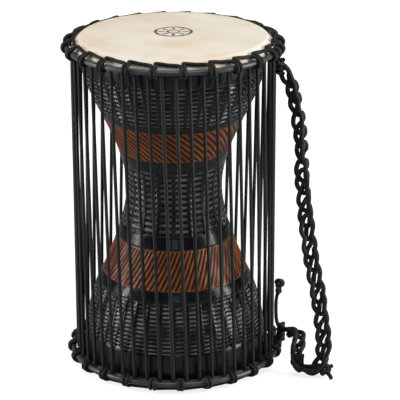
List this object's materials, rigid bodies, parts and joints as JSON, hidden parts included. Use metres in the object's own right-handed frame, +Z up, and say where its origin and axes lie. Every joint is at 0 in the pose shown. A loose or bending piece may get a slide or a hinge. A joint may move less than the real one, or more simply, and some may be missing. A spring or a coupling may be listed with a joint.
{
  "type": "talking drum",
  "caption": "Hourglass hand drum with a goatskin head on each mouth, laced rim to rim by tension cords that bow in when squeezed, with a braided shoulder strap",
  "frame": {"origin": "centre of the foot print of the drum without its strap, on the surface that it stands on", "axes": "+Z up along the drum's axis, -Y toward the pictured front, +X toward the strap"},
  "size_m": [0.2862, 0.2402, 0.362],
  "materials": {
    "carved_wood": "carved, black satin stain with red-brown bands",
    "goatskin": "stretched raw goatskin, matte",
    "cane": "bare cane",
    "ring": "dark grey satin",
    "black_rope": "twisted black rope",
    "tension_cord": "dark grey braided cord",
    "strap_rope": "chained black cord"
  },
  "bodies": {
    "shell": {"shell": "carved_wood", "top_skin": "goatskin", "bottom_skin": "goatskin", "strap": "strap_rope", "strap_top_knot": "strap_rope", "strap_bottom_knot": "strap_rope"},
    "top_rim": {"top_flesh_hoop": "cane", "top_ring": "ring", "top_edge_rope": "black_rope"},
    "bottom_rim": {"bottom_flesh_hoop": "cane", "bottom_ring": "ring", "bottom_edge_rope": "black_rope"},
    "cord_01_upper": {"cord_01_upper": "tension_cord"},
    "cord_01_lower": {"cord_01_lower": "tension_cord"},
    "cord_02_upper": {"cord_02_upper": "tension_cord"},
    "cord_02_lower": {"cord_02_lower": "tension_cord"},
    "cord_03_upper": {"cord_03_upper": "tension_cord"},
    "cord_03_lower": {"cord_03_lower": "tension_cord"},
    "cord_04_upper": {"cord_04_upper": "tension_cord"},
    "cord_04_lower": {"cord_04_lower": "tension_cord"},
    "cord_05_upper": {"cord_05_upper": "tension_cord"},
    "cord_05_lower": {"cord_05_lower": "tension_cord"},
    "cord_06_upper": {"cord_06_upper": "tension_cord"},
    "cord_06_lower": {"cord_06_lower": "tension_cord"},
    "cord_07_upper": {"cord_07_upper": "tension_cord"},
    "cord_07_lower": {"cord_07_lower": "tension_cord"},
    "cord_08_upper": {"cord_08_upper": "tension_cord"},
    "cord_08_lower": {"cord_08_lower": "tension_cord"},
    "cord_09_upper": {"cord_09_upper": "tension_cord"},
    "cord_09_lower": {"cord_09_lower": "tension_cord"},
    "cord_10_upper": {"cord_10_upper": "tension_cord"},
    "cord_10_lower": {"cord_10_lower": "tension_cord"},
    "cord_11_upper": {"cord_11_upper": "tension_cord"},
    "cord_11_lower": {"cord_11_lower": "tension_cord"},
    "cord_12_upper": {"cord_12_upper": "tension_cord"},
    "cord_12_lower": {"cord_12_lower": "tension_cord"},
    "cord_13_upper": {"cord_13_upper": "tension_cord"},
    "cord_13_lower": {"cord_13_lower": "tension_cord"},
    "cord_14_upper": {"cord_14_upper": "tension_cord"},
    "cord_14_lower": {"cord_14_lower": "tension_cord"},
    "cord_15_upper": {"cord_15_upper": "tension_cord"},
    "cord_15_lower": {"cord_15_lower": "tension_cord"},
    "cord_16_upper": {"cord_16_upper": "tension_cord"},
    "cord_16_lower": {"cord_16_lower": "tension_cord"},
    "cord_17_upper": {"cord_17_upper": "tension_cord"},
    "cord_17_lower": {"cord_17_lower": "tension_cord"},
    "cord_18_upper": {"cord_18_upper": "tension_cord"},
    "cord_18_lower": {"cord_18_lower": "tension_cord"},
    "cord_19_upper": {"cord_19_upper": "tension_cord"},
    "cord_19_lower": {"cord_19_lower": "tension_cord"},
    "cord_20_upper": {"cord_20_upper": "tension_cord"},
    "cord_20_lower": {"cord_20_lower": "tension_cord"},
    "cord_21_upper": {"cord_21_upper": "tension_cord"},
    "cord_21_lower": {"cord_21_lower": "tension_cord"},
    "cord_22_upper": {"cord_22_upper": "tension_cord"},
    "cord_22_lower": {"cord_22_lower": "tension_cord"},
    "cord_23_upper": {"cord_23_upper": "tension_cord"},
    "cord_23_lower": {"cord_23_lower": "tension_cord"},
    "cord_24_upper": {"cord_24_upper": "tension_cord"},
    "cord_24_lower": {"cord_24_lower": "tension_cord"}
  },
  "joints": [
    {"name": "top_rim_draw", "type": "slide", "parent": "shell", "child": "top_rim", "axis": [0, 0, -1], "range_m": [0, 0.001], "stiffness_N_per_m": 20000, "springref_m": -0.003, "deforming": ["top_skin"]},
    {"name": "bottom_rim_draw", "type": "slide", "parent": "shell", "child": "bottom_rim", "axis": [0, 0, 1], "range_m": [0, 0.001], "stiffness_N_per_m": 20000, "springref_m": -0.003, "deforming": ["bottom_skin"]},
    {"name": "cord_01_bow", "type": "hinge", "parent": "top_rim", "child": "cord_01_upper", "pos_m": [0.01042, -0.10626, 0.3495], "axis": [0.9898, 0.1426, 0], "range_deg": [0, 8]},
    {"name": "cord_01_fold", "type": "hinge", "parent": "cord_01_upper", "child": "cord_01_lower", "pos_m": [0.01521, -0.10557, 0.181], "axis": [0.9898, 0.1426, 0], "range_deg": [-16, 0]},
    {"name": "cord_02_bow", "type": "hinge", "parent": "top_rim", "child": "cord_02_upper", "pos_m": [0.03757, -0.09994, 0.3495], "axis": [0.9191, 0.3939, 0], "range_deg": [0, 8]},
    {"name": "cord_02_fold", "type": "hinge", "parent": "cord_02_upper", "child": "cord_02_lower", "pos_m": [0.04202, -0.09804, 0.181], "axis": [0.9191, 0.3939, 0], "range_deg": [-16, 0]},
    {"name": "cord_03_bow", "type": "hinge", "parent": "top_rim", "child": "cord_03_upper", "pos_m": [0.06215, -0.08682, 0.3495], "axis": [0.7859, 0.6184, 0], "range_deg": [0, 8]},
    {"name": "cord_03_fold", "type": "hinge", "parent": "cord_03_upper", "child": "cord_03_lower", "pos_m": [0.06596, -0.08382, 0.181], "axis": [0.7859, 0.6184, 0], "range_deg": [-16, 0]},
    {"name": "cord_04_bow", "type": "hinge", "parent": "top_rim", "child": "cord_04_upper", "pos_m": [0.0825, -0.06777, 0.3495], "axis": [0.599, 0.8007, 0], "range_deg": [0, 8]},
    {"name": "cord_04_fold", "type": "hinge", "parent": "cord_04_upper", "child": "cord_04_lower", "pos_m": [0.08541, -0.06389, 0.181], "axis": [0.599, 0.8007, 0], "range_deg": [-16, 0]},
    {"name": "cord_05_bow", "type": "hinge", "parent": "top_rim", "child": "cord_05_upper", "pos_m": [0.09724, -0.04411, 0.3495], "axis": [0.3714, 0.9285, 0], "range_deg": [0, 8]},
    {"name": "cord_05_fold", "type": "hinge", "parent": "cord_05_upper", "child": "cord_05_lower", "pos_m": [0.09903, -0.03961, 0.181], "axis": [0.3714, 0.9285, 0], "range_deg": [-16, 0]},
    {"name": "cord_06_bow", "type": "hinge", "parent": "top_rim", "child": "cord_06_upper", "pos_m": [0.10534, -0.01744, 0.3495], "axis": [0.1184, 0.993, 0], "range_deg": [0, 8]},
    {"name": "cord_06_fold", "type": "hinge", "parent": "cord_06_upper", "child": "cord_06_lower", "pos_m": [0.10591, -0.01263, 0.181], "axis": [0.1184, 0.993, 0], "range_deg": [-16, 0]},
    {"name": "cord_07_bow", "type": "hinge", "parent": "top_rim", "child": "cord_07_upper", "pos_m": [0.10626, 0.01042, 0.3495], "axis": [-0.1426, 0.9898, 0], "range_deg": [0, 8]},
    {"name": "cord_07_fold", "type": "hinge", "parent": "cord_07_upper", "child": "cord_07_lower", "pos_m": [0.10557, 0.01521, 0.181], "axis": [-0.1426, 0.9898, 0], "range_deg": [-16, 0]},
    {"name": "cord_08_bow", "type": "hinge", "parent": "top_rim", "child": "cord_08_upper", "pos_m": [0.09994, 0.03757, 0.3495], "axis": [-0.3939, 0.9191, 0], "range_deg": [0, 8]},
    {"name": "cord_08_fold", "type": "hinge", "parent": "cord_08_upper", "child": "cord_08_lower", "pos_m": [0.09804, 0.04202, 0.181], "axis": [-0.3939, 0.9191, 0], "range_deg": [-16, 0]},
    {"name": "cord_09_bow", "type": "hinge", "parent": "top_rim", "child": "cord_09_upper", "pos_m": [0.08682, 0.06215, 0.3495], "axis": [-0.6184, 0.7859, 0], "range_deg": [0, 8]},
    {"name": "cord_09_fold", "type": "hinge", "parent": "cord_09_upper", "child": "cord_09_lower", "pos_m": [0.08382, 0.06596, 0.181], "axis": [-0.6184, 0.7859, 0], "range_deg": [-16, 0]},
    {"name": "cord_10_bow", "type": "hinge", "parent": "top_rim", "child": "cord_10_upper", "pos_m": [0.06777, 0.0825, 0.3495], "axis": [-0.8007, 0.599, 0], "range_deg": [0, 8]},
    {"name": "cord_10_fold", "type": "hinge", "parent": "cord_10_upper", "child": "cord_10_lower", "pos_m": [0.06389, 0.08541, 0.181], "axis": [-0.8007, 0.599, 0], "range_deg": [-16, 0]},
    {"name": "cord_11_bow", "type": "hinge", "parent": "top_rim", "child": "cord_11_upper", "pos_m": [0.04411, 0.09724, 0.3495], "axis": [-0.9285, 0.3714, 0], "range_deg": [0, 8]},
    {"name": "cord_11_fold", "type": "hinge", "parent": "cord_11_upper", "child": "cord_11_lower", "pos_m": [0.03961, 0.09903, 0.181], "axis": [-0.9285, 0.3714, 0], "range_deg": [-16, 0]},
    {"name": "cord_12_bow", "type": "hinge", "parent": "top_rim", "child": "cord_12_upper", "pos_m": [0.01744, 0.10534, 0.3495], "axis": [-0.993, 0.1184, 0], "range_deg": [0, 8]},
    {"name": "cord_12_fold", "type": "hinge", "parent": "cord_12_upper", "child": "cord_12_lower", "pos_m": [0.01263, 0.10591, 0.181], "axis": [-0.993, 0.1184, 0], "range_deg": [-16, 0]},
    {"name": "cord_13_bow", "type": "hinge", "parent": "top_rim", "child": "cord_13_upper", "pos_m": [-0.01042, 0.10626, 0.3495], "axis": [-0.9898, -0.1426, 0], "range_deg": [0, 8]},
    {"name": "cord_13_fold", "type": "hinge", "parent": "cord_13_upper", "child": "cord_13_lower", "pos_m": [-0.01521, 0.10557, 0.181], "axis": [-0.9898, -0.1426, 0], "range_deg": [-16, 0]},
    {"name": "cord_14_bow", "type": "hinge", "parent": "top_rim", "child": "cord_14_upper", "pos_m": [-0.03757, 0.09994, 0.3495], "axis": [-0.9191, -0.3939, 0], "range_deg": [0, 8]},
    {"name": "cord_14_fold", "type": "hinge", "parent": "cord_14_upper", "child": "cord_14_lower", "pos_m": [-0.04202, 0.09804, 0.181], "axis": [-0.9191, -0.3939, 0], "range_deg": [-16, 0]},
    {"name": "cord_15_bow", "type": "hinge", "parent": "top_rim", "child": "cord_15_upper", "pos_m": [-0.06215, 0.08682, 0.3495], "axis": [-0.7859, -0.6184, 0], "range_deg": [0, 8]},
    {"name": "cord_15_fold", "type": "hinge", "parent": "cord_15_upper", "child": "cord_15_lower", "pos_m": [-0.06596, 0.08382, 0.181], "axis": [-0.7859, -0.6184, 0], "range_deg": [-16, 0]},
    {"name": "cord_16_bow", "type": "hinge", "parent": "top_rim", "child": "cord_16_upper", "pos_m": [-0.0825, 0.06777, 0.3495], "axis": [-0.599, -0.8007, 0], "range_deg": [0, 8]},
    {"name": "cord_16_fold", "type": "hinge", "parent": "cord_16_upper", "child": "cord_16_lower", "pos_m": [-0.08541, 0.06389, 0.181], "axis": [-0.599, -0.8007, 0], "range_deg": [-16, 0]},
    {"name": "cord_17_bow", "type": "hinge", "parent": "top_rim", "child": "cord_17_upper", "pos_m": [-0.09724, 0.04411, 0.3495], "axis": [-0.3714, -0.9285, 0], "range_deg": [0, 8]},
    {"name": "cord_17_fold", "type": "hinge", "parent": "cord_17_upper", "child": "cord_17_lower", "pos_m": [-0.09903, 0.03961, 0.181], "axis": [-0.3714, -0.9285, 0], "range_deg": [-16, 0]},
    {"name": "cord_18_bow", "type": "hinge", "parent": "top_rim", "child": "cord_18_upper", "pos_m": [-0.10534, 0.01744, 0.3495], "axis": [-0.1184, -0.993, 0], "range_deg": [0, 8]},
    {"name": "cord_18_fold", "type": "hinge", "parent": "cord_18_upper", "child": "cord_18_lower", "pos_m": [-0.10591, 0.01263, 0.181], "axis": [-0.1184, -0.993, 0], "range_deg": [-16, 0]},
    {"name": "cord_19_bow", "type": "hinge", "parent": "top_rim", "child": "cord_19_upper", "pos_m": [-0.10626, -0.01042, 0.3495], "axis": [0.1426, -0.9898, 0], "range_deg": [0, 8]},
    {"name": "cord_19_fold", "type": "hinge", "parent": "cord_19_upper", "child": "cord_19_lower", "pos_m": [-0.10557, -0.01521, 0.181], "axis": [0.1426, -0.9898, 0], "range_deg": [-16, 0]},
    {"name": "cord_20_bow", "type": "hinge", "parent": "top_rim", "child": "cord_20_upper", "pos_m": [-0.09994, -0.03757, 0.3495], "axis": [0.3939, -0.9191, 0], "range_deg": [0, 8]},
    {"name": "cord_20_fold", "type": "hinge", "parent": "cord_20_upper", "child": "cord_20_lower", "pos_m": [-0.09804, -0.04202, 0.181], "axis": [0.3939, -0.9191, 0], "range_deg": [-16, 0]},
    {"name": "cord_21_bow", "type": "hinge", "parent": "top_rim", "child": "cord_21_upper", "pos_m": [-0.08682, -0.06215, 0.3495], "axis": [0.6184, -0.7859, 0], "range_deg": [0, 8]},
    {"name": "cord_21_fold", "type": "hinge", "parent": "cord_21_upper", "child": "cord_21_lower", "pos_m": [-0.08382, -0.06596, 0.181], "axis": [0.6184, -0.7859, 0], "range_deg": [-16, 0]},
    {"name": "cord_22_bow", "type": "hinge", "parent": "top_rim", "child": "cord_22_upper", "pos_m": [-0.06777, -0.0825, 0.3495], "axis": [0.8007, -0.599, 0], "range_deg": [0, 8]},
    {"name": "cord_22_fold", "type": "hinge", "parent": "cord_22_upper", "child": "cord_22_lower", "pos_m": [-0.06389, -0.08541, 0.181], "axis": [0.8007, -0.599, 0], "range_deg": [-16, 0]},
    {"name": "cord_23_bow", "type": "hinge", "parent": "top_rim", "child": "cord_23_upper", "pos_m": [-0.04411, -0.09724, 0.3495], "axis": [0.9285, -0.3714, 0], "range_deg": [0, 8]},
    {"name": "cord_23_fold", "type": "hinge", "parent": "cord_23_upper", "child": "cord_23_lower", "pos_m": [-0.03961, -0.09903, 0.181], "axis": [0.9285, -0.3714, 0], "range_deg": [-16, 0]},
    {"name": "cord_24_bow", "type": "hinge", "parent": "top_rim", "child": "cord_24_upper", "pos_m": [-0.01744, -0.10534, 0.3495], "axis": [0.993, -0.1184, 0], "range_deg": [0, 8]},
    {"name": "cord_24_fold", "type": "hinge", "parent": "cord_24_upper", "child": "cord_24_lower", "pos_m": [-0.01263, -0.10591, 0.181], "axis": [0.993, -0.1184, 0], "range_deg": [-16, 0]}
  ],
  "couplings": [
    {"joint": "bottom_rim_draw", "follows": "top_rim_draw", "ratio": 1},
    {"joint": "cord_01_bow", "follows": "top_rim_draw", "rad_per_m": 139.63},
    {"joint": "cord_01_fold", "follows": "top_rim_draw", "rad_per_m": -279.25},
    {"joint": "cord_02_bow", "follows": "top_rim_draw", "rad_per_m": 139.63},
    {"joint": "cord_02_fold", "follows": "top_rim_draw", "rad_per_m": -279.25},
    {"joint": "cord_03_bow", "follows": "top_rim_draw", "rad_per_m": 139.63},
    {"joint": "cord_03_fold", "follows": "top_rim_draw", "rad_per_m": -279.25},
    {"joint": "cord_04_bow", "follows": "top_rim_draw", "rad_per_m": 139.63},
    {"joint": "cord_04_fold", "follows": "top_rim_draw", "rad_per_m": -279.25},
    {"joint": "cord_05_bow", "follows": "top_rim_draw", "rad_per_m": 139.63},
    {"joint": "cord_05_fold", "follows": "top_rim_draw", "rad_per_m": -279.25},
    {"joint": "cord_06_bow", "follows": "top_rim_draw", "rad_per_m": 139.63},
    {"joint": "cord_06_fold", "follows": "top_rim_draw", "rad_per_m": -279.25},
    {"joint": "cord_07_bow", "follows": "top_rim_draw", "rad_per_m": 139.63},
    {"joint": "cord_07_fold", "follows": "top_rim_draw", "rad_per_m": -279.25},
    {"joint": "cord_08_bow", "follows": "top_rim_draw", "rad_per_m": 139.63},
    {"joint": "cord_08_fold", "follows": "top_rim_draw", "rad_per_m": -279.25},
    {"joint": "cord_09_bow", "follows": "top_rim_draw", "rad_per_m": 139.63},
    {"joint": "cord_09_fold", "follows": "top_rim_draw", "rad_per_m": -279.25},
    {"joint": "cord_10_bow", "follows": "top_rim_draw", "rad_per_m": 139.63},
    {"joint": "cord_10_fold", "follows": "top_rim_draw", "rad_per_m": -279.25},
    {"joint": "cord_11_bow", "follows": "top_rim_draw", "rad_per_m": 139.63},
    {"joint": "cord_11_fold", "follows": "top_rim_draw", "rad_per_m": -279.25},
    {"joint": "cord_12_bow", "follows": "top_rim_draw", "rad_per_m": 139.63},
    {"joint": "cord_12_fold", "follows": "top_rim_draw", "rad_per_m": -279.25},
    {"joint": "cord_13_bow", "follows": "top_rim_draw", "rad_per_m": 139.63},
    {"joint": "cord_13_fold", "follows": "top_rim_draw", "rad_per_m": -279.25},
    {"joint": "cord_14_bow", "follows": "top_rim_draw", "rad_per_m": 139.63},
    {"joint": "cord_14_fold", "follows": "top_rim_draw", "rad_per_m": -279.25},
    {"joint": "cord_15_bow", "follows": "top_rim_draw", "rad_per_m": 139.63},
    {"joint": "cord_15_fold", "follows": "top_rim_draw", "rad_per_m": -279.25},
    {"joint": "cord_16_bow", "follows": "top_rim_draw", "rad_per_m": 139.63},
    {"joint": "cord_16_fold", "follows": "top_rim_draw", "rad_per_m": -279.25},
    {"joint": "cord_17_bow", "follows": "top_rim_draw", "rad_per_m": 139.63},
    {"joint": "cord_17_fold", "follows": "top_rim_draw", "rad_per_m": -279.25},
    {"joint": "cord_18_bow", "follows": "top_rim_draw", "rad_per_m": 139.63},
    {"joint": "cord_18_fold", "follows": "top_rim_draw", "rad_per_m": -279.25},
    {"joint": "cord_19_bow", "follows": "top_rim_draw", "rad_per_m": 139.63},
    {"joint": "cord_19_fold", "follows": "top_rim_draw", "rad_per_m": -279.25},
    {"joint": "cord_20_bow", "follows": "top_rim_draw", "rad_per_m": 139.63},
    {"joint": "cord_20_fold", "follows": "top_rim_draw", "rad_per_m": -279.25},
    {"joint": "cord_21_bow", "follows": "top_rim_draw", "rad_per_m": 139.63},
    {"joint": "cord_21_fold", "follows": "top_rim_draw", "rad_per_m": -279.25},
    {"joint": "cord_22_bow", "follows": "top_rim_draw", "rad_per_m": 139.63},
    {"joint": "cord_22_fold", "follows": "top_rim_draw", "rad_per_m": -279.25},
    {"joint": "cord_23_bow", "follows": "top_rim_draw", "rad_per_m": 139.63},
    {"joint": "cord_23_fold", "follows": "top_rim_draw", "rad_per_m": -279.25},
    {"joint": "cord_24_bow", "follows": "top_rim_draw", "rad_per_m": 139.63},
    {"joint": "cord_24_fold", "follows": "top_rim_draw", "rad_per_m": -279.25}
  ]
}
